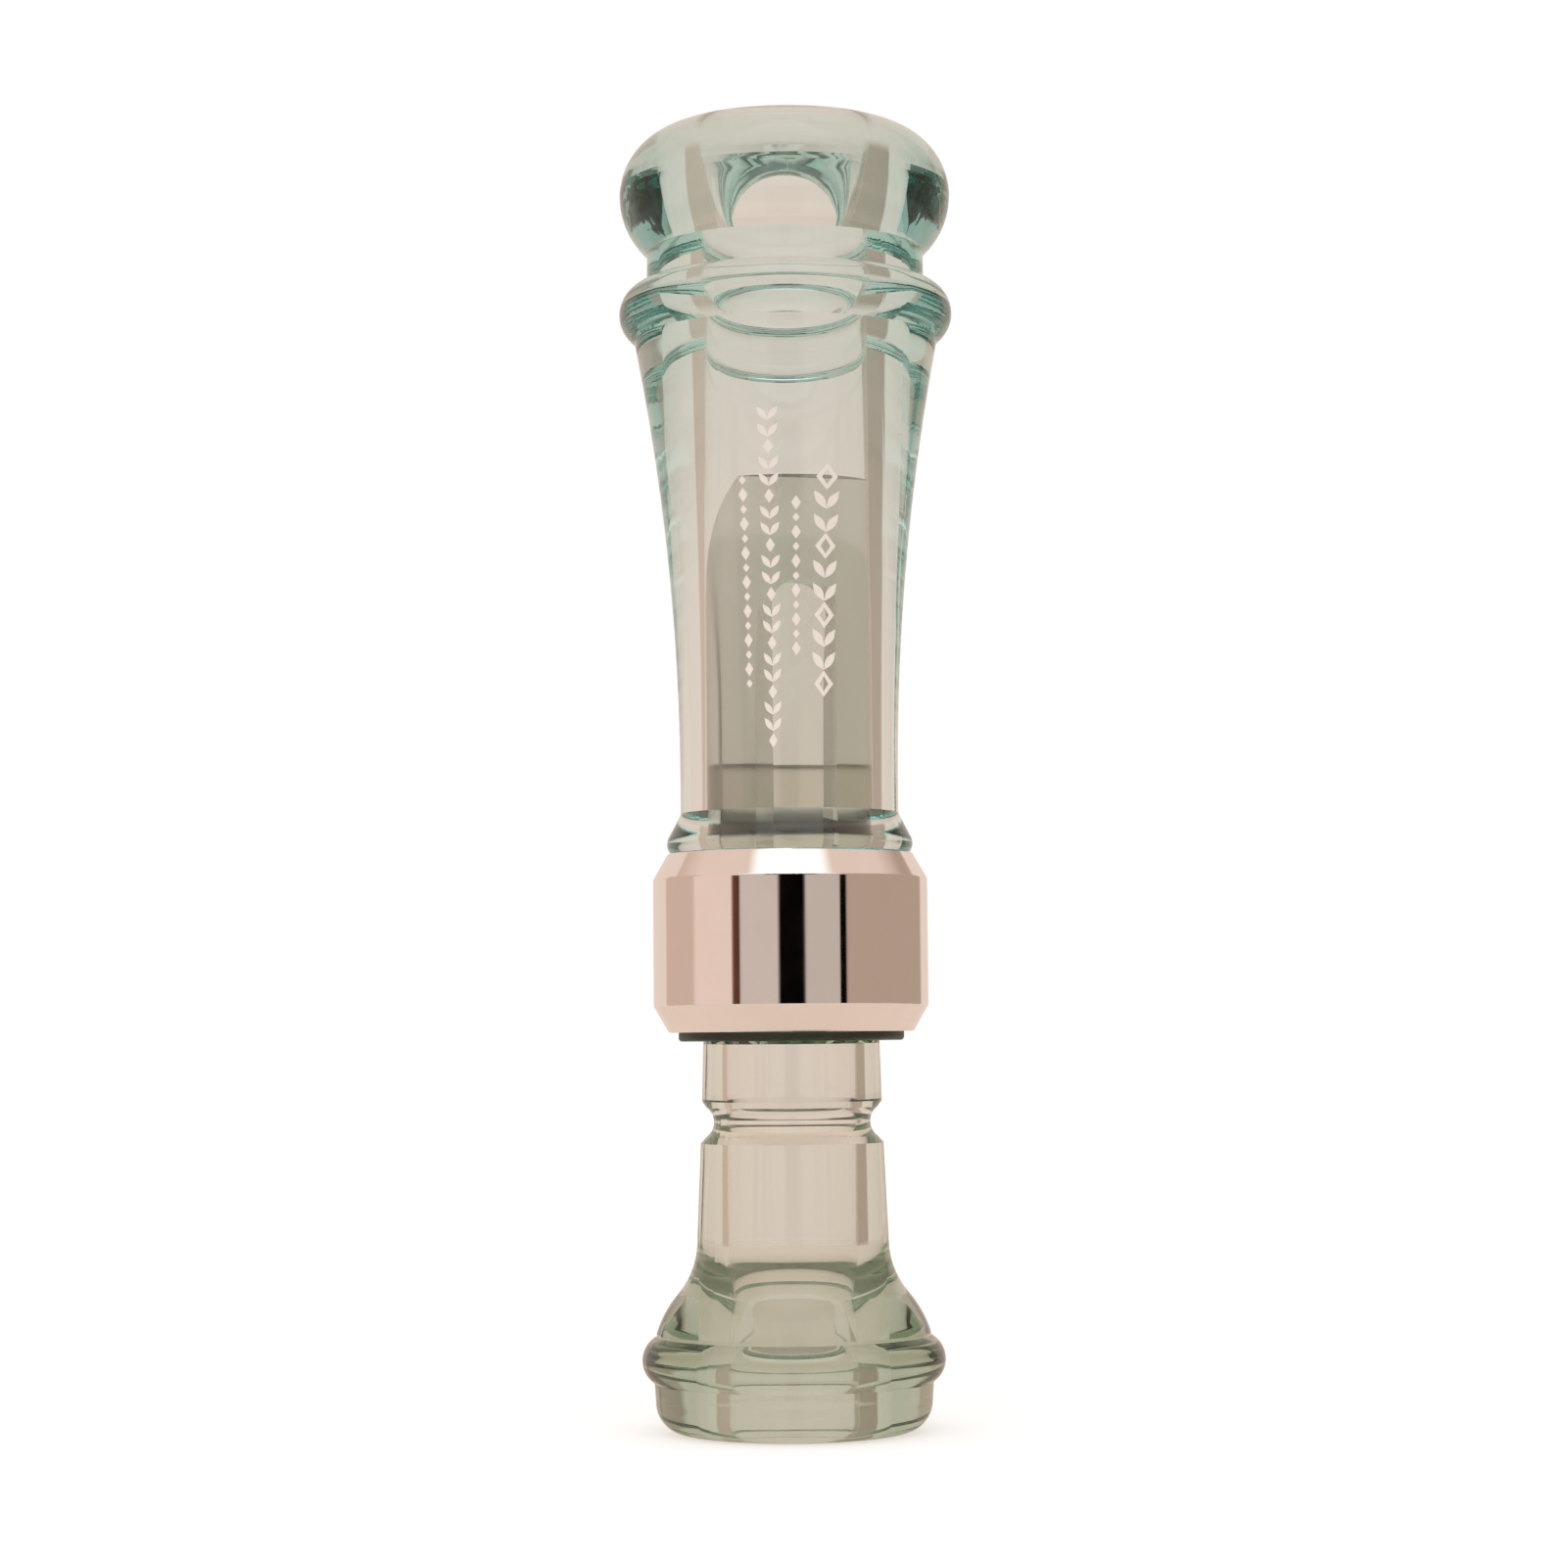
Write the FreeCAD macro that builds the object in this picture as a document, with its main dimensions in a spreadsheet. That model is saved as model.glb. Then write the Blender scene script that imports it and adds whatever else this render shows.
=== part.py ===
import FreeCAD, Part
import math
import os

import Sketcher

# A duck call: a turned acrylic barrel with a pressed metal band, and a turned acrylic insert
# that carries the tone board, reed, wedge and two seal rings and plugs into the barrel.
# Millimetres. Z runs up the axis, 0 is the rim that the call stands on. Radii are from the axis.
# Distances named rise, depth or face are measured across the tone board, from the axis.

SIZES = {
    # Gap where two pieces sit face to face
    "seat_gap": 0.02,
    # Barrel, from its open end up to the mouthpiece
    "barrel_foot_z": 43.9,
    "barrel_bore_r": 9.6,
    "barrel_tenon_r": 12.8,
    "barrel_end_round": 0.4,
    "collar_foot_z": 65.2,
    "collar_foot_r": 13.6,
    "collar_brow_r": 13.75,
    "collar_brow_z": 67.1,
    "collar_round": 1.6,
    "collar_top_z": 69.5,
    "collar_top_r": 12.5,
    "waist_r": 12.4,
    "waist_foot_z": 69.7,
    "flare_start_z": 73.0,
    "flare_arc_r": 265.0,
    "flare_end_z": 124.1,
    "bead_arc_r": 3.5,
    "bead_centre_r": 15.6,
    "bead_z": 127.12,
    "throat_r": 15.9,
    # Mouthpiece lip: a bulb whose crest rolls over into the bore
    "lip_r": 19.0,
    "lip_z": 140.94,
    "lip_under_arc_r": 8.8,
    "lip_side_arc_r": 7.0,
    "lip_crest_r": 11.2,
    "call_height": 148.66,
    # Band
    "band_foot_z": 44.9,
    "band_top_z": 65.2,
    "band_r": 15.6,
    "band_bevel_long": 3.0,
    "band_bevel_deep": 1.7,
    "band_edge_round": 0.35,
    # Insert, from its rim up to the shoulder
    "rim_r": 12.2,
    "rim_round": 3.4,
    "foot_top_r": 15.75,
    "foot_bead_centre_r": 14.13,
    "foot_bead_arc_r": 3.0,
    "foot_bead_z": 8.1,
    "foot_bead_top_r": 15.5,
    "ogee_foot_r": 15.48,
    "ogee_foot_z": 11.16,
    "ogee_convex_r": 12.4,
    "ogee_middle_r": 13.05,
    "ogee_middle_z": 15.5,
    "ogee_hollow_r": 9.2,
    "neck_foot_r": 10.85,
    "neck_foot_z": 21.2,
    "groove_foot_r": 10.37,
    "groove_foot_z": 32.4,
    "groove_bevel_r": 9.7,
    "groove_bevel_z": 33.15,
    "groove_bevel_top_z": 36.4,
    "groove_arc_r": 2.02,
    "groove_top_r": 10.2,
    "groove_top_z": 37.1,
    "shoulder_r": 10.0,
    # Insert, inside the barrel
    "insert_tenon_r": 9.55,
    "insert_tenon_top_z": 69.5,
    "exhaust_r": 7.4,
    "exhaust_top_z": 43.5,
    "throat_bore_r": 4.8,
    "throat_bore_z": 46.0,
    "throat_bore_top_z": 56.0,
    "ring_low_z": 48.5,
    "ring_high_z": 53.0,
    "ring_groove_r": 8.05,
    "ring_groove_wide": 2.1,
    "ring_play": 0.03,
    # Tone board: a D section whose flat face curves away from the reed towards its tip
    "board_turn": 196.0,
    "board_r": 9.45,
    "board_face": 0.6,
    "board_flat_top_z": 80.0,
    "board_curve_r": 81.0,
    "board_curve_top_z": 98.0,
    "board_tip_arc_r": 29.2,
    "board_tip_face": 6.5,
    "board_tip_z": 107.3,
    "channel_wide": 6.0,
    "channel_depth": 4.5,
    "channel_foot_z": 54.0,
    "channel_top_z": 96.0,
    # Wedge notch, reed and wedge
    "notch_wide": 12.8,
    "notch_foot_z": 57.0,
    "reed_wide": 12.4,
    "reed_thick": 0.35,
    "reed_foot_z": 57.4,
    "reed_tip_z": 101.0,
    "reed_corner": 3.0,
    "wedge_wide": 12.4,
    "wedge_foot_z": 57.2,
    "wedge_nose_z": 75.2,
    "wedge_heel_rise": 6.8,
    "wedge_nose_rise": 4.4,
    "wedge_corner": 0.8,
}

SIDE_REACH = 14.0  # how far from the axis a cut starts, past the insert's sides
OVERRUN = 1.0  # how far a cut reaches past the face that it opens
MIN_CUT = 1.0  # a cut that takes less than this volume has missed

doc = FreeCAD.newDocument("duck_call")


def make_sheet():
    """The sheet of driving dimensions, one named cell each."""
    sheet = doc.addObject("Spreadsheet::Sheet", "Sizes")
    for row, (name, number) in enumerate(SIZES.items(), start=1):
        sheet.set(f"A{row}", name)
        sheet.set(f"B{row}", str(number))
        sheet.setAlias(f"B{row}", name)
    doc.recompute()
    return sheet


sheet = make_sheet()


def size(name):
    """The formula that reads one dimension from the sheet."""
    return f"Sizes.{name}"


def number(formula):
    """What a formula over the sheet comes to."""
    return float(sheet.evalExpression(formula.replace("Sizes.", "")))


def origin_plane(body, role):
    return next(f for f in body.Origin.OriginFeatures if f.Role == role)


def make_body(label):
    body = doc.addObject("PartDesign::Body", label)
    body.Label = label
    return body


def make_sketch(body, name, role):
    sketch = body.newObject("Sketcher::SketchObject", name)
    sketch.AttachmentSupport = [(origin_plane(body, role), "")]
    sketch.MapMode = "FlatFace"
    return sketch


def arc_between(start, end, radius, side):
    """The short arc between two points. Side is 1 if it bulges to the left of the way to end, else -1."""
    chord = end - start
    left = FreeCAD.Vector(-chord.y, chord.x, 0).normalize()
    sagitta = radius - math.sqrt(max(radius**2 - (chord.Length / 2) ** 2, 0.0))
    middle = (start + end) / 2 + left * side * sagitta
    return Part.Arc(start, middle, end)


def bind(sketch, constraint, formula):
    index = sketch.addConstraint(constraint)
    sketch.setExpression(f"Constraints[{index}]", formula)


def draw_outline(sketch, outline):
    """Draws a closed outline: (x, y) is a straight run to that point, (x, y, radius, side) an arc."""
    points = [FreeCAD.Vector(number(step[0]), number(step[1]), 0) for step in outline]
    ends = []
    for index, step in enumerate(outline):
        start, end = points[index - 1], points[index]
        if len(step) == 2:
            edge = sketch.addGeometry(Part.LineSegment(start, end), False)
            ends.append((edge, 1, 2))
            continue
        edge = sketch.addGeometry(arc_between(start, end, number(step[2]), step[3]), False)
        bind(sketch, Sketcher.Constraint("Radius", edge, number(step[2])), step[2])
        clockwise = step[3] > 0
        ends.append((edge, 2, 1) if clockwise else (edge, 1, 2))
    for index, (edge, _, last) in enumerate(ends):
        following, first, _ = ends[(index + 1) % len(ends)]
        sketch.addConstraint(Sketcher.Constraint("Coincident", edge, last, following, first))
        point = points[index]
        bind(sketch, Sketcher.Constraint("DistanceX", -1, 1, edge, last, point.x), outline[index][0])
        bind(sketch, Sketcher.Constraint("DistanceY", -1, 1, edge, last, point.y), outline[index][1])


def revolve(body, name, outline):
    """Turns a closed outline of (radius, height) about the axis."""
    sketch = make_sketch(body, f"{name}_outline", "XZ_Plane")
    draw_outline(sketch, outline)
    turned = body.newObject("PartDesign::Revolution", name)
    turned.Profile = sketch
    turned.ReferenceAxis = (sketch, ["V_Axis"])
    turned.Angle = 360
    body.Tip = turned
    doc.recompute()
    return turned


def groove(body, name, outline):
    """Turns a closed outline of (radius, height) about the axis and cuts it away."""
    before = body.Shape.Volume
    sketch = make_sketch(body, f"{name}_outline", "XZ_Plane")
    draw_outline(sketch, outline)
    cut = body.newObject("PartDesign::Groove", name)
    cut.Profile = sketch
    cut.ReferenceAxis = (sketch, ["V_Axis"])
    cut.Angle = 360
    body.Tip = cut
    doc.recompute()
    require_cut(name, before, body)


def pocket(body, name, role, outline, depth=None, reversed_way=False, both_ways=False, start=None):
    """Cuts a closed outline into the body: to a depth, or right through."""
    before = body.Shape.Volume
    sketch = make_sketch(body, f"{name}_outline", role)
    if start:
        sketch.setExpression("AttachmentOffset.Base.z", start)
    draw_outline(sketch, outline)
    cut = body.newObject("PartDesign::Pocket", name)
    cut.Profile = sketch
    cut.Reversed = reversed_way
    if both_ways:
        cut.SideType = "Symmetric"
    if depth:
        cut.Type = "Length"
        cut.setExpression("Length", depth)
    else:
        cut.Type = "ThroughAll"
    body.Tip = cut
    doc.recompute()
    require_cut(name, before, body)


def require_cut(name, before, body):
    if body.Shape.Volume > before - MIN_CUT:
        raise RuntimeError(f"{name} cuts nothing")


def slab(body, name, role, outline, width):
    """A plate of a closed outline, half its width each side of the plane."""
    sketch = make_sketch(body, f"{name}_outline", role)
    draw_outline(sketch, outline)
    plate = body.newObject("PartDesign::Pad", name)
    plate.Profile = sketch
    plate.SideType = "Symmetric"
    plate.setExpression("Length", width)
    body.Tip = plate
    doc.recompute()


def round_edges(body, name, radius, wanted):
    """Rounds the edges of the body's last feature that the test picks."""
    base = body.Tip
    picked = [f"Edge{i}" for i, edge in enumerate(base.Shape.Edges, start=1) if wanted(edge)]
    rounded = body.newObject("PartDesign::Fillet", name)
    rounded.Base = (base, picked)
    rounded.setExpression("Radius", radius)
    body.Tip = rounded
    doc.recompute()


def half_chord(radius, offset):
    """Half the chord of a circle at a distance from its centre."""
    return f"sqrt(({radius}) ^ 2 - ({offset}) ^ 2)"


def barrel_outline():
    """The barrel's section. The flare is tangent to the waist, and the lip's arcs to each other."""
    flare_rise = f"{size('flare_end_z')} - {size('flare_start_z')}"
    flare_end = f"{size('waist_r')} + {size('flare_arc_r')} - {half_chord(size('flare_arc_r'), flare_rise)}"
    bead_in = f"{size('throat_r')} - {size('bead_centre_r')}"
    bead_top = f"{size('bead_z')} + {half_chord(size('bead_arc_r'), bead_in)}"
    under_in = f"{size('throat_r')} - {size('lip_r')} + {size('lip_under_arc_r')}"
    lip_foot = f"{size('lip_z')} - {half_chord(size('lip_under_arc_r'), under_in)}"
    # The side arc and the crown arc meet where they share a tangent
    inward = f"({size('lip_r')} - {size('lip_side_arc_r')} - {size('lip_crest_r')})"
    upward = f"({size('call_height')} - {size('lip_z')} - {size('lip_side_arc_r')})"
    growth = f"(({inward} ^ 2 + {upward} ^ 2) / (2 * {upward}))"
    crown = f"{size('lip_side_arc_r')} + {growth}"
    meet_r = f"{size('lip_r')} - {size('lip_side_arc_r')} * (1 - {inward} / {growth})"
    meet_z = f"{size('lip_z')} + {size('lip_side_arc_r')} * (1 - {upward} / {growth})"
    mouth_round = f"({size('lip_crest_r')} - {size('barrel_bore_r')})"
    mouth_z = f"{size('call_height')} - {mouth_round}"
    return [
        (size("barrel_bore_r"), size("barrel_foot_z")),
        (f"{size('barrel_tenon_r')} - {size('barrel_end_round')}", size("barrel_foot_z")),
        (
            size("barrel_tenon_r"),
            f"{size('barrel_foot_z')} + {size('barrel_end_round')}",
            size("barrel_end_round"),
            -1,
        ),
        (size("barrel_tenon_r"), size("collar_foot_z")),
        (size("collar_foot_r"), size("collar_foot_z")),
        (size("collar_brow_r"), size("collar_brow_z"), size("collar_round"), -1),
        (size("collar_top_r"), size("collar_top_z")),
        (size("waist_r"), size("waist_foot_z")),
        (size("waist_r"), size("flare_start_z")),
        (flare_end, size("flare_end_z"), size("flare_arc_r"), 1),
        (size("throat_r"), bead_top, size("bead_arc_r"), -1),
        (size("throat_r"), lip_foot),
        (size("lip_r"), size("lip_z"), size("lip_under_arc_r"), -1),
        (meet_r, meet_z, size("lip_side_arc_r"), -1),
        (size("lip_crest_r"), size("call_height"), crown, -1),
        (size("barrel_bore_r"), mouth_z, mouth_round, -1),
    ]


def make_barrel():
    body = make_body("barrel")
    revolve(body, "turned_barrel", barrel_outline())
    return body


def make_band():
    """The band: a ring with a wide bevel at each end, its corners just broken."""
    body = make_body("band")
    bevel_r = f"{size('band_r')} - {size('band_bevel_deep')}"
    inside_r = f"{size('barrel_tenon_r')} + {size('seat_gap')}"
    top_z = f"{size('band_top_z')} - {size('seat_gap')}"
    outline = [
        (inside_r, size("band_foot_z")),
        (bevel_r, size("band_foot_z")),
        (size("band_r"), f"{size('band_foot_z')} + {size('band_bevel_long')}"),
        (size("band_r"), f"{size('band_top_z')} - {size('band_bevel_long')}"),
        (bevel_r, top_z),
        (inside_r, top_z),
    ]
    revolve(body, "turned_band", outline)
    outside_from = number(f"({size('barrel_tenon_r')} + {bevel_r}) / 2")

    def on_the_outside(edge):
        return hasattr(edge.Curve, "Radius") and edge.Curve.Radius > outside_from

    round_edges(body, "broken_corners", size("band_edge_round"), on_the_outside)
    return body


def insert_outline():
    """The insert's turned section, before the tone board is cut."""
    bead_r, bead_z = size("foot_bead_arc_r"), size("foot_bead_z")
    bead_low = half_chord(bead_r, f"{size('foot_top_r')} - {size('foot_bead_centre_r')}")
    bead_high = half_chord(bead_r, f"{size('foot_bead_top_r')} - {size('foot_bead_centre_r')}")
    shoulder_z = f"{size('barrel_foot_z')} - {size('seat_gap')}"
    return [
        (size("exhaust_r"), "0"),
        (size("rim_r"), "0"),
        (f"{size('rim_r')} + {size('rim_round')}", size("rim_round"), size("rim_round"), -1),
        (size("foot_top_r"), f"{bead_z} - {bead_low}"),
        (size("foot_bead_top_r"), f"{bead_z} + {bead_high}", bead_r, -1),
        (size("ogee_foot_r"), size("ogee_foot_z")),
        (size("ogee_middle_r"), size("ogee_middle_z"), size("ogee_convex_r"), -1),
        (size("neck_foot_r"), size("neck_foot_z"), size("ogee_hollow_r"), 1),
        (size("groove_foot_r"), size("groove_foot_z")),
        (size("groove_bevel_r"), size("groove_bevel_z")),
        (size("groove_bevel_r"), size("groove_bevel_top_z"), size("groove_arc_r"), 1),
        (size("groove_top_r"), size("groove_top_z")),
        (size("shoulder_r"), shoulder_z),
        (size("insert_tenon_r"), shoulder_z),
        (size("insert_tenon_r"), size("insert_tenon_top_z")),
        (size("board_r"), size("insert_tenon_top_z")),
        (size("board_r"), size("board_tip_z")),
        ("0", size("board_tip_z")),
        ("0", size("throat_bore_top_z")),
        (size("throat_bore_r"), size("throat_bore_top_z")),
        (size("throat_bore_r"), size("throat_bore_z")),
        (size("exhaust_r"), size("exhaust_top_z")),
    ]


def ring_groove_outline(height):
    low = f"{size(height)} - {size('ring_groove_wide')} / 2"
    high = f"{size(height)} + {size('ring_groove_wide')} / 2"
    outside = f"{size('insert_tenon_r')} + {OVERRUN}"
    return [
        (size("ring_groove_r"), low),
        (outside, low),
        (outside, high),
        (size("ring_groove_r"), high),
    ]


def board_face_outline():
    """What is cut from the cylinder to leave the tone board, as (distance from the axis, height)."""
    curve_rise = f"{size('board_curve_top_z')} - {size('board_flat_top_z')}"
    curve_depth = f"{size('board_curve_r')} - {half_chord(size('board_curve_r'), curve_rise)}"
    curve_face = f"{size('board_face')} + {curve_depth}"
    return [
        (f"-{SIDE_REACH}", size("insert_tenon_top_z")),
        (size("board_face"), size("insert_tenon_top_z")),
        (size("board_face"), size("board_flat_top_z")),
        (curve_face, size("board_curve_top_z"), size("board_curve_r"), 1),
        (size("board_tip_face"), size("board_tip_z"), size("board_tip_arc_r"), 1),
        (size("board_tip_face"), f"{size('board_tip_z')} + {OVERRUN}"),
        (f"-{SIDE_REACH}", f"{size('board_tip_z')} + {OVERRUN}"),
    ]


def channel_outline():
    """The sounding channel: a slot with a half-round upper end, as (across, height)."""
    half = f"{size('channel_wide')} / 2"
    shoulder = f"{size('channel_top_z')} - {half}"
    return [
        (f"-{half}", size("channel_foot_z")),
        (half, size("channel_foot_z")),
        (half, shoulder),
        ("0", size("channel_top_z"), half, -1),
        (f"-{half}", shoulder, half, -1),
    ]


def notch_outline():
    """The notch in the tenon that the reed and wedge sit in, as (across, height)."""
    half = f"{size('notch_wide')} / 2"
    top = f"{size('insert_tenon_top_z')} + {OVERRUN}"
    return [
        (f"-{half}", size("notch_foot_z")),
        (half, size("notch_foot_z")),
        (half, top),
        (f"-{half}", top),
    ]


def turn_with_board(feature):
    """Turns a piece about the axis so that it faces the way the tone board does."""
    feature.Placement = FreeCAD.Placement(FreeCAD.Vector(), FreeCAD.Rotation(FreeCAD.Vector(0, 0, 1), 1))
    feature.setExpression("Placement.Rotation.Angle", size("board_turn"))


def make_insert():
    """The insert: turned, grooved for its rings, then cut to leave the tone board."""
    body = make_body("insert")
    revolve(body, "turned_insert", insert_outline())
    groove(body, "low_ring_groove", ring_groove_outline("ring_low_z"))
    groove(body, "high_ring_groove", ring_groove_outline("ring_high_z"))
    pocket(body, "board_face", "YZ_Plane", board_face_outline(), both_ways=True)
    depth = f"{size('board_face')} + {size('channel_depth')}"
    pocket(body, "sounding_channel", "XZ_Plane", channel_outline(), depth=depth)
    pocket(
        body,
        "wedge_notch",
        "XZ_Plane",
        notch_outline(),
        reversed_way=True,
        start=f"-{size('board_face')}",
    )
    turn_with_board(body)
    return body


def make_seal_ring(label, height):
    """A rubber ring, squeezed between its groove and the barrel's bore."""
    ring = doc.addObject("Part::Torus", label)
    ring.Label = label
    span = f"({size('barrel_bore_r')} - {size('ring_groove_r')})"
    ring.setExpression("Radius1", f"{size('ring_groove_r')} + {span} / 2")
    ring.setExpression("Radius2", f"{span} / 2 - {size('ring_play')}")
    ring.setExpression("Placement.Base.z", size(height))
    doc.recompute()
    return ring


def make_reed():
    """The reed: a thin strip flat on the tone board, with its free end's corners rounded."""
    body = make_body("reed")
    back = f"{size('board_face')} - {size('seat_gap')}"
    front = f"{back} - {size('reed_thick')}"
    outline = [
        (front, size("reed_foot_z")),
        (back, size("reed_foot_z")),
        (back, size("reed_tip_z")),
        (front, size("reed_tip_z")),
    ]
    slab(body, "strip", "YZ_Plane", outline, size("reed_wide"))
    tip = number(size("reed_tip_z"))

    def at_the_tip(edge):
        along_y = abs(edge.tangentAt(edge.FirstParameter).y) > 0.9
        return along_y and abs(edge.CenterOfMass.z - tip) < 0.01

    round_edges(body, "round_corners", size("reed_corner"), at_the_tip)
    turn_with_board(body)
    return body


def make_wedge():
    """The wedge: a plastic block in the notch, thinner towards its nose, that clamps the reed."""
    body = make_body("wedge")
    seat = f"{size('board_face')} - {size('reed_thick')} - 2 * {size('seat_gap')}"
    outline = [
        (f"{seat} - {size('wedge_heel_rise')}", size("wedge_foot_z")),
        (seat, size("wedge_foot_z")),
        (seat, size("wedge_nose_z")),
        (f"{seat} - {size('wedge_nose_rise')}", size("wedge_nose_z")),
    ]
    slab(body, "block", "YZ_Plane", outline, size("wedge_wide"))
    nose = number(size("wedge_nose_z"))
    outer = number(f"{seat} - {size('wedge_nose_rise')}")

    def at_the_nose(edge):
        middle = edge.CenterOfMass
        return abs(middle.z - nose) < 0.01 and abs(middle.y - outer) < 0.01

    round_edges(body, "soft_nose", size("wedge_corner"), at_the_nose)
    turn_with_board(body)
    return body


def check_document():
    """Stops if any object of the document failed to compute."""
    doc.recompute()
    for item in doc.Objects:
        if "Invalid" in item.State or "Error" in item.State:
            raise RuntimeError(f"{item.Name} failed: {item.State}")


def write_parts(parts):
    os.makedirs("parts", exist_ok=True)
    for part in parts:
        shape = part.Shape
        if shape.isNull() or not shape.isValid() or len(shape.Solids) != 1:
            raise RuntimeError(f"{part.Label} is not one valid solid")
        shape.exportStep(f"parts/{part.Label}.step")
        box = shape.BoundBox
        print(f"{part.Label}: {shape.Volume:.1f} mm3, z {box.ZMin:.2f} to {box.ZMax:.2f}, x {box.XLength:.2f}")


PARTS = [
    make_barrel(),
    make_band(),
    make_insert(),
    make_seal_ring("seal_ring_low", "ring_low_z"),
    make_seal_ring("seal_ring_high", "ring_high_z"),
    make_reed(),
    make_wedge(),
]
check_document()
write_parts(PARTS)
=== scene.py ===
import math

import bmesh
import bpy
from mathutils import Matrix, Vector
from mathutils.bvhtree import BVHTree


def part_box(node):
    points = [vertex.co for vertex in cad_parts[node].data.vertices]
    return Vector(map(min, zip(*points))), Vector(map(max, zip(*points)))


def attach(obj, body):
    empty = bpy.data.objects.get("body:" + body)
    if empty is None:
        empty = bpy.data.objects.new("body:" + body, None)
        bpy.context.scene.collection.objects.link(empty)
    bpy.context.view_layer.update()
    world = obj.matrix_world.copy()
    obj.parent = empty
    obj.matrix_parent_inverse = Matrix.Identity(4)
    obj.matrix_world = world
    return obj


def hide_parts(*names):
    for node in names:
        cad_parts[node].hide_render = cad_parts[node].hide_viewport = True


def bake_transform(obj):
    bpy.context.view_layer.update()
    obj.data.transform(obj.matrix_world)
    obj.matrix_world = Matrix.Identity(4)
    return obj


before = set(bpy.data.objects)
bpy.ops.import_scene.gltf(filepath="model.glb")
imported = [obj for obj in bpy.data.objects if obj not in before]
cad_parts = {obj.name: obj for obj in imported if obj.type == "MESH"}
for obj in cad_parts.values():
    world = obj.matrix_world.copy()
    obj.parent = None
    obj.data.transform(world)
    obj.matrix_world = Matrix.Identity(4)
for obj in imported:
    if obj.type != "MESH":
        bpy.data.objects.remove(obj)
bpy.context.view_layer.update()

# A clear acrylic duck call on a white table. Metres, in the CAD model's frame.

MM = 0.001

# The tone board's frame: its round back faces this bearing, and the reed lies on its flat face
BOARD_BEARING = math.radians(16.0)
TO_BACK = Vector((math.sin(BOARD_BEARING), -math.cos(BOARD_BEARING), 0.0))
ACROSS = Vector((math.cos(BOARD_BEARING), math.sin(BOARD_BEARING), 0.0))
UP = Vector((0.0, 0.0, 1.0))


# Colours

def srgb(red, green, blue):
    """Scene-linear colour of a display colour given as 0 to 255."""
    def linear(level):
        level /= 255
        return level / 12.92 if level <= 0.04045 else ((level + 0.055) / 1.055) ** 2.4
    return (linear(red), linear(green), linear(blue), 1.0)


def grey(level):
    return (level, level, level, 1.0)


# Node helpers

def new_material(name):
    material = bpy.data.materials.new(name)
    material.use_nodes = True
    material.node_tree.nodes.clear()
    return material, material.node_tree


def node(tree, kind, **settings):
    made = tree.nodes.new(kind)
    for key, value in settings.items():
        setattr(made, key, value)
    return made


def feed(tree, socket, value):
    """Sets a socket to a constant, or links it to another socket."""
    if isinstance(value, bpy.types.NodeSocket):
        tree.links.new(value, socket)
    else:
        socket.default_value = value


def math_node(tree, operation, *values, clamp=False):
    made = node(tree, "ShaderNodeMath", operation=operation, use_clamp=clamp)
    for socket, value in zip(made.inputs, values):
        feed(tree, socket, value)
    return made.outputs[0]


def vector_node(tree, operation, *values):
    made = node(tree, "ShaderNodeVectorMath", operation=operation)
    for socket, value in zip(made.inputs, values):
        feed(tree, socket, value)
    return made.outputs["Value" if operation in ("DOT_PRODUCT", "LENGTH") else "Vector"]


def ramp_node(tree, factor, stops):
    """A colour ramp with stops of (position, colour)."""
    ramp = node(tree, "ShaderNodeValToRGB")
    elements = ramp.color_ramp.elements
    elements[0].position, elements[0].color = stops[0]
    elements[1].position, elements[1].color = stops[-1]
    for position, colour in stops[1:-1]:
        elements.new(position).color = colour
    tree.links.new(factor, ramp.inputs["Fac"])
    return ramp.outputs["Color"]


def range_node(tree, factor, low, high):
    """low where the factor is 0, high where it is 1, straight between."""
    return math_node(tree, "MULTIPLY_ADD", factor, high - low, low)


def step_node(tree, value, low, high):
    """0 below low, 1 above high, straight between."""
    made = node(tree, "ShaderNodeMapRange", clamp=True)
    feed(tree, made.inputs["Value"], value)
    made.inputs["From Min"].default_value = low
    made.inputs["From Max"].default_value = high
    return made.outputs["Result"]


# Where the Mix node keeps its colour sockets
MIX_FACTOR, MIX_FIRST, MIX_SECOND, MIX_RESULT = 0, 6, 7, 2


def mix_colour(tree, factor, first, second, blend="MIX"):
    made = node(tree, "ShaderNodeMix", data_type="RGBA", blend_type=blend)
    feed(tree, made.inputs[MIX_FACTOR], factor)
    feed(tree, made.inputs[MIX_FIRST], first)
    feed(tree, made.inputs[MIX_SECOND], second)
    return made.outputs[MIX_RESULT]


def noise_node(tree, place, scale, detail=2.0):
    noise = node(tree, "ShaderNodeTexNoise")
    noise.inputs["Scale"].default_value = scale
    noise.inputs["Detail"].default_value = detail
    feed(tree, noise.inputs["Vector"], place)
    return noise.outputs["Fac"]


def bump_node(tree, height, depth):
    bump = node(tree, "ShaderNodeBump")
    bump.inputs["Strength"].default_value = 1.0
    bump.inputs["Distance"].default_value = depth
    feed(tree, bump.inputs["Height"], height)
    return bump.outputs["Normal"]


def object_place(tree):
    return node(tree, "ShaderNodeTexCoord").outputs["Object"]


def ring_place(tree, place):
    """The place in rings, as (distance from the axis, 0, height), and that distance."""
    split = node(tree, "ShaderNodeSeparateXYZ")
    tree.links.new(place, split.inputs[0])
    flat = vector_node(tree, "MULTIPLY", place, (1.0, 1.0, 0.0))
    radius = vector_node(tree, "LENGTH", flat)
    joined = node(tree, "ShaderNodeCombineXYZ")
    tree.links.new(radius, joined.inputs["X"])
    tree.links.new(split.outputs["Z"], joined.inputs["Z"])
    return joined.outputs[0], radius


def surface(tree, shader):
    output = node(tree, "ShaderNodeOutputMaterial")
    tree.links.new(shader.outputs[0], output.inputs["Surface"])
    return output


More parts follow.
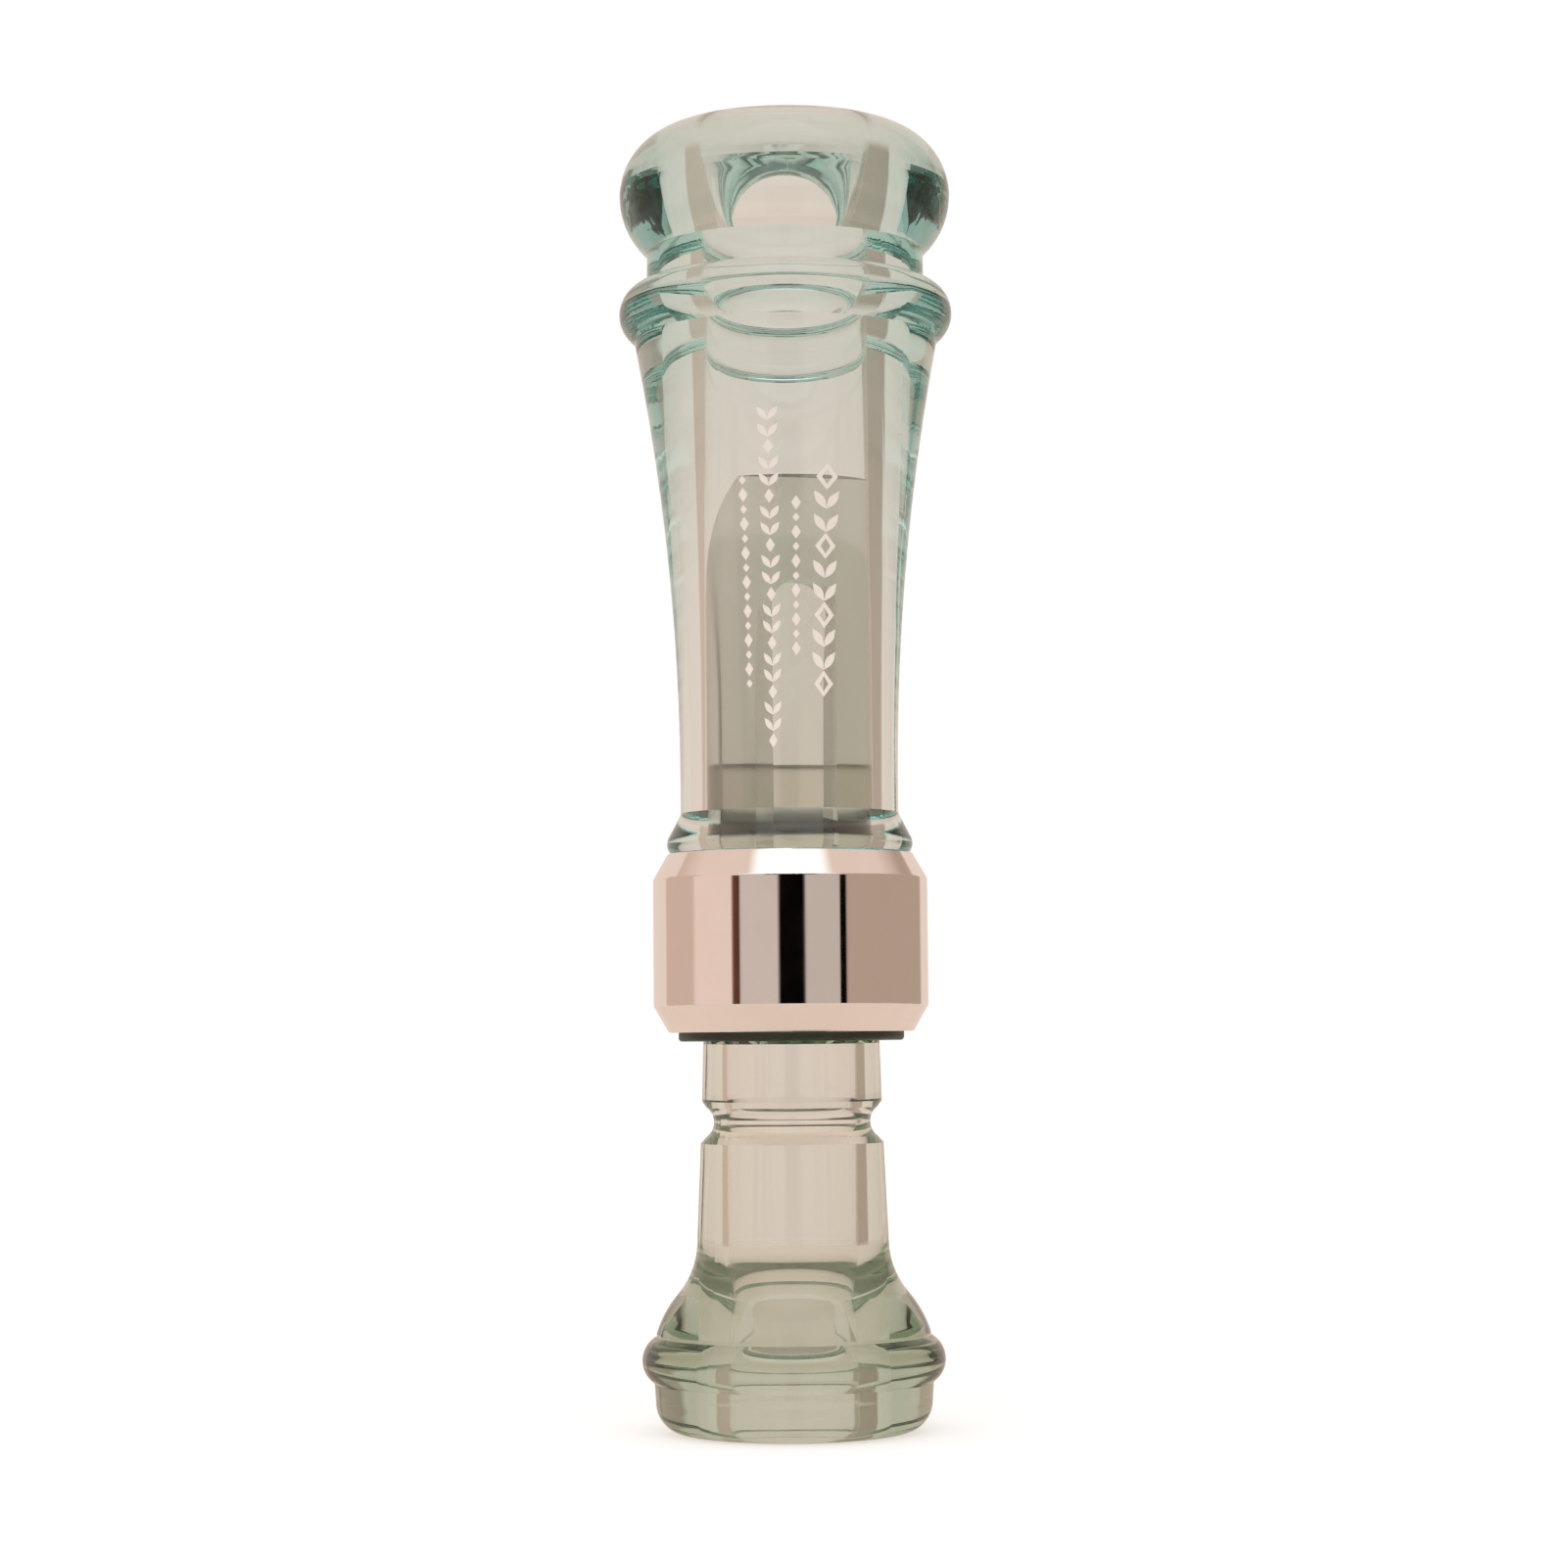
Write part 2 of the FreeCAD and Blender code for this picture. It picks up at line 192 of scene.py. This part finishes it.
def principled(tree, **values):
    """A Principled shader with its sockets set by name, underscores for spaces."""
    shader = node(tree, "ShaderNodeBsdfPrincipled")
    for name, value in values.items():
        feed(tree, shader.inputs[name.replace("_", " ")], value)
    return shader


# The studio. Bearings are degrees from the camera's side of the call, growing towards +X. Heights
# and depths are the sine of the angle above or below the horizon.

WALLS = [
    (-180, (233, 213, 200)),
    (-129, (233, 213, 200)),
    (-127, (208, 180, 163)),
    (-90, (208, 180, 163)),
    (-86, (233, 207, 194)),
    (-46, (233, 207, 194)),
    (-44, (205, 189, 180)),
    (0, (205, 189, 180)),
    (2, (195, 181, 170)),
    (44, (195, 181, 170)),
    (46, (180, 157, 141)),
    (138, (180, 157, 141)),
    (142, (233, 213, 200)),
    (180, (233, 213, 200)),
]
LIT, BROWN, DARK = grey(1.0), (0.14, 0.07, 0.045, 1), (0.004, 0.0035, 0.003, 1)
STANDS = [
    (-50, LIT),
    (-49, BROWN),
    (-43, BROWN),
    (-42, LIT),
    (-11, LIT),
    (-9, DARK),
    (11, DARK),
    (13, LIT),
    (41, LIT),
    (42, DARK),
    (47, DARK),
    (48, LIT),
]
STAND_TOP = (0.08, 0.13)
# Below the horizon: a pale table top, in gloom in front and to the sides
TABLE_TOP = (0.78, 0.63, 0.54, 1)
TABLE_EDGE = (0.16, 0.24)
GLOOM_SIDES, GLOOM_DEPTHS, GLOOM_TONE = (0.0, 95.0), (0.48, 0.72), (0.16, 0.15, 0.125, 1)
GLOOM_SIDE_BLUR, GLOOM_DEPTH_BLUR = 25.0, 0.14
# Over the camera: the dark edge of its hood, at heights and so at depths below 0
HOOD_SIDES, HOOD_DEPTHS, HOOD_TONE = (0.0, 20.0), (-0.46, -0.28), (0.004, 0.02, 0.017, 1)
HOOD_SIDE_BLUR, HOOD_DEPTH_BLUR = 4.0, 0.03
# Overhead: a ceiling, bright above the camera and warm behind the call. The edge between them is
# in shares of a half turn
CEILING_FOOT = (0.50, 0.66)
CEILING_FRONT, CEILING_BACK = (1.25, 1.22, 1.18, 1), srgb(229, 206, 192)
CEILING_EDGE = (0.22, 0.30)
HALF_TURN = 180.0


def window(tree, value, low, high, blur):
    """1 from low to high, falling to 0 over the blur on each side."""
    rise = step_node(tree, value, low - blur, low)
    fall = step_node(tree, value, high, high + blur)
    return math_node(tree, "SUBTRACT", rise, fall)


def patch(tree, side_window, depth_window):
    """1 in a soft-edged window of bearings and depths, else 0."""
    return math_node(tree, "MULTIPLY", window(tree, *side_window), window(tree, *depth_window))


def all_round(stops):
    """Ramp stops of bearings in degrees, as shares of a full turn."""
    return [((bearing + HALF_TURN) / (2 * HALF_TURN), colour) for bearing, colour in stops]


def build_world():
    """Warm walls, dark stands, ceiling and table top. The camera itself sees plain white."""
    world = bpy.data.worlds.new("studio")
    bpy.context.scene.world = world
    world.use_nodes = True
    tree = world.node_tree
    tree.nodes.clear()
    direction = node(tree, "ShaderNodeTexCoord").outputs["Generated"]
    split = node(tree, "ShaderNodeSeparateXYZ")
    tree.links.new(direction, split.inputs[0])
    toward_camera = math_node(tree, "MULTIPLY", split.outputs["Y"], -1.0)
    bearing = math_node(tree, "ARCTAN2", split.outputs["X"], toward_camera)
    turn = math_node(tree, "MULTIPLY_ADD", bearing, 0.5 / math.pi, 0.5)
    walls = ramp_node(tree, turn, all_round([(bearing, srgb(*tone)) for bearing, tone in WALLS]))
    stands = ramp_node(tree, turn, all_round(STANDS))
    level = math_node(tree, "ABSOLUTE", split.outputs["Z"])
    stands = mix_colour(tree, step_node(tree, level, *STAND_TOP), stands, LIT)
    walls = mix_colour(tree, 1.0, walls, stands, "MULTIPLY")
    aside = math_node(tree, "DIVIDE", math_node(tree, "ABSOLUTE", bearing), math.pi)
    ceiling = mix_colour(tree, step_node(tree, aside, *CEILING_EDGE), CEILING_FRONT, CEILING_BACK)
    depth = math_node(tree, "MULTIPLY", split.outputs["Z"], -1.0)
    degrees = math_node(tree, "MULTIPLY", aside, HALF_TURN)
    hood = patch(
        tree,
        (degrees, *HOOD_SIDES, HOOD_SIDE_BLUR),
        (depth, *HOOD_DEPTHS, HOOD_DEPTH_BLUR),
    )
    walls = mix_colour(tree, hood, walls, HOOD_TONE)
    gloom = patch(
        tree,
        (degrees, *GLOOM_SIDES, GLOOM_SIDE_BLUR),
        (depth, *GLOOM_DEPTHS, GLOOM_DEPTH_BLUR),
    )
    table_top = mix_colour(tree, gloom, TABLE_TOP, GLOOM_TONE)
    walls = mix_colour(tree, step_node(tree, depth, *TABLE_EDGE), walls, table_top)
    room = mix_colour(tree, step_node(tree, split.outputs["Z"], *CEILING_FOOT), walls, ceiling)
    seen = node(tree, "ShaderNodeLightPath").outputs["Is Camera Ray"]
    background = node(tree, "ShaderNodeBackground")
    tree.links.new(mix_colour(tree, seen, room, LIT), background.inputs["Color"])
    output = node(tree, "ShaderNodeOutputWorld")
    tree.links.new(background.outputs[0], output.inputs["Surface"])


TABLE_RADIUS, TABLE_SIDES = 3.0, 64
TABLE_DROP = 0.02 * MM
# The table as the camera sees it adds up to white in the open, and goes warm in the call's shadow
SEEN_PAINT, SEEN_GLOW = (0.62, 0.80, 0.97, 1), (0.62, 0.54, 0.48, 1)
# The table as the acrylic and the band see it: pale close to the call, and further out it gives
# way to the studio's own table top
ROOM_PAINT, ROOM_GLOW = (0.86, 0.82, 0.78, 1), (0.12, 0.09, 0.07, 1)
ROOM_REACH = (0.12, 0.16)


def table_shader(tree, paint, glow):
    """A matt paint with a glow of its own."""
    diffuse = node(tree, "ShaderNodeBsdfDiffuse")
    feed(tree, diffuse.inputs["Color"], paint)
    light = node(tree, "ShaderNodeEmission")
    feed(tree, light.inputs["Color"], glow)
    both = node(tree, "ShaderNodeAddShader")
    tree.links.new(diffuse.outputs[0], both.inputs[0])
    tree.links.new(light.outputs[0], both.inputs[1])
    return both


def either(tree, factor, first, second):
    """The first shader where the factor is 0, the second where it is 1."""
    mixed = node(tree, "ShaderNodeMixShader")
    for socket, value in zip(mixed.inputs, (factor, first.outputs[0], second.outputs[0])):
        tree.links.new(value, socket)
    return mixed


def build_floor():
    floor_mesh = bpy.data.meshes.new("table")
    bm = bmesh.new()
    bmesh.ops.create_circle(bm, cap_ends=True, radius=TABLE_RADIUS, segments=TABLE_SIDES)
    bm.to_mesh(floor_mesh)
    bm.free()
    floor = bpy.data.objects.new("table", floor_mesh)
    bpy.context.scene.collection.objects.link(floor)
    floor.location.z = -TABLE_DROP
    material, tree = new_material("table_white")
    far = step_node(tree, vector_node(tree, "LENGTH", object_place(tree)), *ROOM_REACH)
    near_table = table_shader(tree, ROOM_PAINT, ROOM_GLOW)
    room = either(tree, far, near_table, node(tree, "ShaderNodeBsdfTransparent"))
    camera = table_shader(tree, SEEN_PAINT, SEEN_GLOW)
    seen = node(tree, "ShaderNodeLightPath").outputs["Is Camera Ray"]
    surface(tree, either(tree, seen, room, camera))
    floor_mesh.materials.append(material)


# Camera: about 0.41 m in front of the call, a little above its foot, tilted up

CAMERA_PLACE = Vector((-0.0006, -0.409, 0.0447))
CAMERA_TILT = math.radians(3.975)
CAMERA_ROLL = math.radians(-0.48)
CAMERA_LENS = 82.5
SENSOR_WIDTH = 36.0


def build_camera():
    data = bpy.data.cameras.new("camera")
    data.lens = CAMERA_LENS
    data.sensor_width = SENSOR_WIDTH
    camera = bpy.data.objects.new("camera", data)
    bpy.context.scene.collection.objects.link(camera)
    tilt = Matrix.Rotation(math.pi / 2 + CAMERA_TILT, 4, "X")
    roll = Matrix.Rotation(CAMERA_ROLL, 4, "Z")
    camera.matrix_world = Matrix.Translation(CAMERA_PLACE) @ tilt @ roll
    bpy.context.scene.camera = camera


# Materials

HAZE_ROUGHNESS = 0.05
# How much rougher than its least a frosted face gets
FROST_GRAIN = 0.1


def polish(tree, place):
    """Hand polish: a slow waviness, and a haze that comes and goes. Gives (normal, roughness)."""
    waves = noise_node(tree, place, scale=160.0, detail=1.0)
    normal = bump_node(tree, waves, depth=0.0012 * MM)
    haze = noise_node(tree, place, scale=420.0, detail=3.0)
    return normal, range_node(tree, step_node(tree, haze, 0.45, 0.85), 0.0, HAZE_ROUGHNESS)


def acrylic_surface(name, let_through, density, dull_mask, dull_colour, dull_roughness):
    """Clear polished acrylic with a body tint, and dull where the mask says."""
    material, tree = new_material(name)
    place = object_place(tree)
    normal, haze = polish(tree, place)
    dull = dull_mask(tree, place)
    grain = noise_node(tree, place, scale=2500.0)
    frost = range_node(tree, grain, dull_roughness, dull_roughness + FROST_GRAIN)
    shader = principled(
        tree,
        Base_Color=mix_colour(tree, dull, LIT, dull_colour),
        IOR=1.49,
        Transmission_Weight=1.0,
        Normal=normal,
        Roughness=math_node(tree, "MAXIMUM", haze, math_node(tree, "MULTIPLY", dull, frost)),
    )
    absorption = node(tree, "ShaderNodeVolumeAbsorption")
    absorption.inputs["Color"].default_value = let_through
    absorption.inputs["Density"].default_value = density
    tree.links.new(absorption.outputs[0], surface(tree, shader).inputs["Volume"])
    return material


def height_of(tree, place):
    split = node(tree, "ShaderNodeSeparateXYZ")
    tree.links.new(place, split.inputs[0])
    return split.outputs["Z"]


# How high the painted shade reaches up the barrel's foot, where the band keeps light out
PAINTED_SHADE_OVER = 1.05 * MM


def barrel_material():
    """The barrel's acrylic: polished, but dull and painted dark at its foot, as painted shade
    where the band keeps the light out.
    """
    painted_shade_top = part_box("barrel")[0].z + PAINTED_SHADE_OVER

    def below_limit(tree, place):
        return math_node(tree, "LESS_THAN", height_of(tree, place), painted_shade_top)

    return acrylic_surface(
        "barrel_acrylic",
        let_through=(0.0, 0.68, 0.64, 1),
        density=15.0,
        dull_mask=below_limit,
        # Painted shade: this dark colour stands in for the shade on the foot under the band
        dull_colour=(0.16, 0.15, 0.11, 1),
        dull_roughness=0.45,
    )


# The milled face: how high it starts, how squarely it faces the reed, and how deep it reaches
MILLED_FROM = 69.6 * MM
FACE_LEAN, FACE_DEPTH = 0.8, 7.0 * MM
# The channel's polished bottom is deeper than this, up to this height
CHANNEL_DEPTH, CHANNEL_TOP = 4.9 * MM, 96.2 * MM


def insert_material():
    """The insert's acrylic: polished, but frosted on the tone board's face beside its channel."""
    def milled(tree, place):
        facing = node(tree, "ShaderNodeTexCoord").outputs["Normal"]
        # The normal turns over for light that meets the face from inside, so its sign is dropped
        square = math_node(
            tree, "ABSOLUTE", vector_node(tree, "DOT_PRODUCT", facing, tuple(TO_BACK))
        )
        height = height_of(tree, place)
        depth = vector_node(tree, "DOT_PRODUCT", place, tuple(TO_BACK))
        face = math_node(
            tree,
            "MULTIPLY",
            math_node(tree, "GREATER_THAN", square, FACE_LEAN),
            math_node(tree, "GREATER_THAN", height, MILLED_FROM),
        )
        face = math_node(tree, "MULTIPLY", face, math_node(tree, "LESS_THAN", depth, FACE_DEPTH))
        channel = math_node(
            tree,
            "MULTIPLY",
            math_node(tree, "GREATER_THAN", depth, CHANNEL_DEPTH),
            math_node(tree, "LESS_THAN", height, CHANNEL_TOP),
        )
        return math_node(tree, "SUBTRACT", face, channel, clamp=True)

    return acrylic_surface(
        "insert_acrylic",
        let_through=(0.0, 0.34, 0.08, 1),
        density=25.0,
        dull_mask=milled,
        dull_colour=(0.76, 0.75, 0.70, 1),
        dull_roughness=0.36,
    )


# The band's inside is closer to the axis than this
BONDED_RADIUS = 12.9 * MM
# The band's roughness where it is clean, smeared, and bonded
BAND_CLEAN, BAND_SMEARED, BAND_BONDED = 0.025, 0.075, 0.1


def band_material():
    """Polished metal with fine lathe rings and handling haze, and bond on its inside."""
    material, tree = new_material("polished_band")
    place = object_place(tree)
    rings, radius = ring_place(tree, place)
    lathe = noise_node(tree, rings, scale=9000.0, detail=3.0)
    normal = bump_node(tree, lathe, depth=0.0006 * MM)
    smears = step_node(tree, noise_node(tree, place, scale=260.0, detail=4.0), 0.35, 0.8)
    below_limit = math_node(tree, "LESS_THAN", radius, BONDED_RADIUS)
    polished = range_node(tree, smears, BAND_CLEAN, BAND_SMEARED)
    inside = range_node(tree, below_limit, 0.0, BAND_BONDED)
    roughness = math_node(tree, "MAXIMUM", polished, inside)
    tone = mix_colour(tree, smears, (0.93, 0.90, 0.88, 1), (0.91, 0.87, 0.84, 1))
    colour = mix_colour(tree, below_limit, tone, (0.93, 0.90, 0.86, 1))
    shader = principled(tree, Base_Color=colour, Metallic=1.0, Roughness=roughness, Normal=normal)
    surface(tree, shader)
    return material


def silicone_material():
    """Translucent silicone: a satin, faintly grained skin with a dusty bloom."""
    material, tree = new_material("ring_silicone")
    place = object_place(tree)
    grain = noise_node(tree, place, scale=3500.0, detail=4.0)
    bloom = step_node(tree, noise_node(tree, place, scale=500.0, detail=3.0), 0.4, 0.75)
    shader = principled(
        tree,
        Base_Color=mix_colour(tree, bloom, (0.92, 0.90, 0.84, 1), (0.84, 0.82, 0.76, 1)),
        IOR=1.41,
        Transmission_Weight=0.35,
        Roughness=range_node(tree, bloom, 0.35, 0.5),
        Normal=bump_node(tree, grain, depth=0.02 * MM),
    )
    surface(tree, shader)
    return material


def film_material():
    """Polyester film: clear, with a faint haze and fine sanding marks along it."""
    material, tree = new_material("reed_film")
    place = object_place(tree)
    along = vector_node(tree, "MULTIPLY", place, (1.0, 1.0, 0.08))
    marks = noise_node(tree, along, scale=2600.0, detail=3.0)
    roughness = range_node(tree, marks, 0.05, 0.17)
    tone = mix_colour(tree, marks, (0.99, 0.99, 0.98, 1), (0.95, 0.95, 0.92, 1))
    shader = principled(
        tree,
        Base_Color=tone,
        IOR=1.6,
        Transmission_Weight=1.0,
        Roughness=roughness,
        Normal=bump_node(tree, marks, depth=0.003 * MM),
    )
    surface(tree, shader)
    return material


def wedge_material():
    """Moulded translucent plastic: frosted skin, faint flow clouds, and a warm body tint."""
    material, tree = new_material("wedge_plastic")
    place = object_place(tree)
    drawn = vector_node(tree, "MULTIPLY", place, (1.0, 1.0, 0.4))
    clouds = noise_node(tree, drawn, scale=420.0, detail=4.0)
    grain = noise_node(tree, place, scale=4200.0, detail=2.0)
    tone = mix_colour(tree, clouds, (0.97, 0.95, 0.88, 1), (0.90, 0.87, 0.78, 1))
    shader = principled(
        tree,
        Base_Color=tone,
        IOR=1.46,
        Transmission_Weight=1.0,
        Roughness=range_node(tree, grain, 0.25, 0.4),
        Normal=bump_node(tree, grain, depth=0.01 * MM),
    )
    surface(tree, shader)
    return material


def etching_material():
    """Frosted white marks on the polished acrylic, a little uneven like a laser's dots, with a
    painted glow.
    """
    material, tree = new_material("etched_frost_painted_glow")
    grain = noise_node(tree, object_place(tree), scale=5200.0, detail=2.0)
    tone = mix_colour(tree, grain, (0.80, 0.79, 0.76, 1), (1.0, 0.99, 0.97, 1))
    normal = bump_node(tree, grain, depth=0.01 * MM)
    shader = principled(tree, Base_Color=tone, Roughness=0.8, Normal=normal)
    # Painted light: the marks glow of their own, standing in for bright front light on them
    shader.inputs["Emission Color"].default_value = (1.0, 0.95, 0.90, 1)
    shader.inputs["Emission Strength"].default_value = 0.26
    surface(tree, shader)
    return material


def dress(name, material):
    """Gives a CAD node its material."""
    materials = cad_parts[name].data.materials
    materials.clear()
    materials.append(material)


def new_piece(name, bm, material):
    """A flat-shaded mesh object made from a bmesh."""
    piece_mesh = bpy.data.meshes.new(name)
    bm.to_mesh(piece_mesh)
    bm.free()
    piece_mesh.materials.append(material)
    piece = bpy.data.objects.new(name, piece_mesh)
    bpy.context.scene.collection.objects.link(piece)
    return piece


# The reed: a strip with rounded free corners, in fine rows and columns

REED_ROWS = 72
REED_COLUMNS = 16
REED_CORNER = 3.0 * MM


def build_reed(material):
    lowest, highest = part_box("reed")
    middle = (lowest + highest) / 2
    depth = middle.dot(TO_BACK)
    wide = frame_width("reed", ACROSS)
    thick = frame_width("reed", TO_BACK)
    corner_foot = highest.z - REED_CORNER
    heights = [lowest.z + (corner_foot - lowest.z) * i / REED_ROWS for i in range(REED_ROWS)]
    turns = [math.pi / 2 * i / REED_COLUMNS for i in range(REED_COLUMNS + 1)]
    heights += [corner_foot + REED_CORNER * math.sin(turn) for turn in turns]

    def half_width(height):
        rise = max(height - corner_foot, 0.0)
        return wide / 2 - REED_CORNER + math.sqrt(max(REED_CORNER**2 - rise**2, 0.0))

    bm = bmesh.new()
    sides = []
    for side in (-1, 1):
        rows = []
        for height in heights:
            half = half_width(height)
            rows.append([
                bm.verts.new(
                    TO_BACK * (depth + side * thick / 2)
                    + ACROSS * (half * (2 * column / REED_COLUMNS - 1))
                    + UP * height
                )
                for column in range(REED_COLUMNS + 1)
            ])
        sides.append(rows)
    for rows in sides:
        for low, high in zip(rows, rows[1:]):
            for i in range(REED_COLUMNS):
                bm.faces.new((low[i], low[i + 1], high[i + 1], high[i]))
    rims = [
        [row[0] for row in rows]
        + rows[-1][1:]
        + [row[-1] for row in reversed(rows[:-1])]
        + rows[0][-2:0:-1]
        for rows in sides
    ]
    for i in range(len(rims[0])):
        following = (i + 1) % len(rims[0])
        bm.faces.new((rims[0][i], rims[0][following], rims[1][following], rims[1][i]))
    bmesh.ops.recalc_face_normals(bm, faces=bm.faces)
    reed = new_piece("reed_strip", bm, material)
    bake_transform(reed)
    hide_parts("reed")


def frame_width(name, direction):
    """How far a CAD node reaches along a direction."""
    reach = [vertex.co.dot(direction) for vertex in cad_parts[name].data.vertices]
    return max(reach) - min(reach)


# The etched marks: four columns of plain shapes down the barrel's front

# How far a mark is from the surface, how thick it is, and its longest step
ETCH_GAP = 0.008 * MM
ETCH_THICK = 0.03 * MM
ETCH_STEP = 0.35 * MM
# A leaf's steps from tip to tip, and the share of its width that is left at the tips
LEAF_STEPS = 10
LEAF_TIP = 0.08
# How much smaller a lozenge's inner corners are, in line widths
FRAME_INSET = 2.6
# A sprig's leaves: how wide, how far out and how much aslant
SPRIG_LEAF, SPRIG_SPREAD, SPRIG_LEAN = 0.34, 0.26, math.radians(34)
# Offsets across a mark are turned into bearings at this radius
WRAP_RADIUS = 13.0 * MM


def leaf(width, height, lean):
    """A pointed leaf as two matched edges from tip to tip, leaning over by an angle."""
    cosine, sine = math.cos(lean), math.sin(lean)

    def turned(across, along):
        return across * cosine - along * sine, across * sine + along * cosine

    spans = [i / LEAF_STEPS for i in range(LEAF_STEPS + 1)]
    edges = []
    for side in (-1, 1):
        halves = [max(math.sin(math.pi * span), LEAF_TIP) * width / 2 * side for span in spans]
        heights = [height * (0.5 - span) for span in spans]
        edges.append([turned(across, along) for across, along in zip(halves, heights)])
    return edges[0], edges[1], False


def lozenge(width, height):
    """A filled diamond."""
    point = LEAF_TIP * width / 2
    left = [(-point, height / 2), (-width / 2, 0.0), (-point, -height / 2)]
    return left, [(-across, along) for across, along in left], False


def lozenge_frame(width, height, line):
    """An open diamond."""
    def corners(across, along):
        return [(0.0, along / 2), (across / 2, 0.0), (0.0, -along / 2), (-across / 2, 0.0)]

    inset = FRAME_INSET * line
    return corners(width, height), corners(width - inset, height - inset), True


def finer(first, second, closed):
    """Both edges with points added, so that no step is long."""
    count = len(first)
    pairs = []
    for i in range(count if closed else count - 1):
        following = (i + 1) % count
        starts = Vector(first[i]), Vector(second[i])
        ends = Vector(first[following]), Vector(second[following])
        longest = max((e - s).length for s, e in zip(starts, ends))
        steps = max(1, math.ceil(longest / ETCH_STEP))
        pairs += [tuple(s.lerp(e, k / steps) for s, e in zip(starts, ends)) for k in range(steps)]
    if not closed:
        pairs.append((Vector(first[-1]), Vector(second[-1])))
    return pairs


class Wrap:
    """Puts flat marks on the barrel's surface."""
    def __init__(self):
        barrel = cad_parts["barrel"].data
        self.tree = BVHTree.FromPolygons(
            [vertex.co.copy() for vertex in barrel.vertices],
            [tuple(face.vertices) for face in barrel.polygons],
        )
        self.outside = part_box("barrel")[1].x * 2

    def place(self, bearing, across, height, lift):
        turn = bearing + across / WRAP_RADIUS
        outward = Vector((math.sin(turn), -math.cos(turn), 0.0))
        start = outward * self.outside + UP * height
        hit = self.tree.ray_cast(start, -outward)[0]
        return hit + outward * lift


def add_mark(bm, wrap, bearing, height, shape):
    """A thin raised shell of one shape, wrapped on the barrel."""
    first, second, closed = shape
    pairs = finer(first, second, closed)
    rows = []
    for pair in pairs:
        middle = pair[0].lerp(pair[1], 0.5)
        points = (pair[0], middle, pair[1])
        rows.append(tuple(
            [bm.verts.new(wrap.place(bearing, p.x, height + p.y, lift)) for p in points]
            for lift in (ETCH_GAP, ETCH_GAP + ETCH_THICK)
        ))
    links = list(zip(rows, rows[1:] + rows[:1])) if closed else list(zip(rows, rows[1:]))
    for (low_a, high_a), (low_b, high_b) in links:
        for i in range(2):
            bm.faces.new((low_a[i], low_a[i + 1], low_b[i + 1], low_b[i]))
            bm.faces.new((high_a[i], high_a[i + 1], high_b[i + 1], high_b[i]))
        for i in (0, 2):
            bm.faces.new((low_a[i], low_b[i], high_b[i], high_a[i]))
    if not closed:
        for low, high in (rows[0], rows[-1]):
            for i in range(2):
                bm.faces.new((low[i], low[i + 1], high[i + 1], high[i]))


def shifted(shape, across, along):
    """The same shape moved aside and up."""
    first, second, closed = shape
    moved = [[(x + across, y + along) for x, y in edge] for edge in (first, second)]
    return moved[0], moved[1], closed


def sprig(width, height):
    """Two leaves that spread up and out from the middle."""
    leaves = []
    for side in (-1, 1):
        one = leaf(width * SPRIG_LEAF, height, -side * SPRIG_LEAN)
        leaves.append(shifted(one, side * width * SPRIG_SPREAD, 0.0))
    return leaves


def etched_columns():
    """(bearing in degrees, top height, bottom height, count, marks in turn) of each column."""
    bold_sprig = sprig(2.6 * MM, 2.3 * MM)
    bold_lozenge = [lozenge_frame(2.3 * MM, 2.9 * MM, 0.46 * MM)]
    fine_sprig = sprig(1.9 * MM, 1.7 * MM)
    fine_lozenge = [lozenge(1.0 * MM, 1.5 * MM)]
    small_lozenge = [lozenge(0.75 * MM, 0.9 * MM)]
    return [
        (18.0, 106.3 * MM, 83.4 * MM, 10, [bold_lozenge, bold_sprig, bold_sprig]),
        (4.0, 103.4 * MM, 87.3 * MM, 11, [fine_lozenge, small_lozenge]),
        (-8.0, 113.2 * MM, 77.1 * MM, 21, [fine_sprig, fine_sprig, fine_lozenge]),
        (-20.0, 106.0 * MM, 83.5 * MM, 15, [small_lozenge, fine_lozenge]),
    ]


def build_etching(material):
    wrap = Wrap()
    for index, column in enumerate(etched_columns(), start=1):
        bearing, top, bottom, count, marks_in_turn = column
        bm = bmesh.new()
        for i in range(count):
            height = top + (bottom - top) * i / (count - 1)
            for shape in marks_in_turn[i % len(marks_in_turn)]:
                add_mark(bm, wrap, math.radians(bearing), height, shape)
        bmesh.ops.recalc_face_normals(bm, faces=bm.faces)
        marks = new_piece(f"etched_marks_{index}", bm, material)
        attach(marks, "barrel")


LIGHT_BOUNCES = 32


def set_up_render():
    """Plain colour, and enough bounces for light that is trapped in the acrylic."""
    scene = bpy.context.scene
    scene.view_settings.view_transform = "Standard"
    scene.cycles.max_bounces = LIGHT_BOUNCES
    scene.cycles.transmission_bounces = LIGHT_BOUNCES
    scene.cycles.glossy_bounces = LIGHT_BOUNCES


set_up_render()
build_world()
build_floor()
build_camera()
dress("barrel", barrel_material())
dress("insert", insert_material())
dress("band", band_material())
silicone = silicone_material()
dress("seal_ring_low", silicone)
dress("seal_ring_high", silicone)
dress("wedge", wedge_material())
film = film_material()
dress("reed", film)
build_reed(film)
build_etching(etching_material())
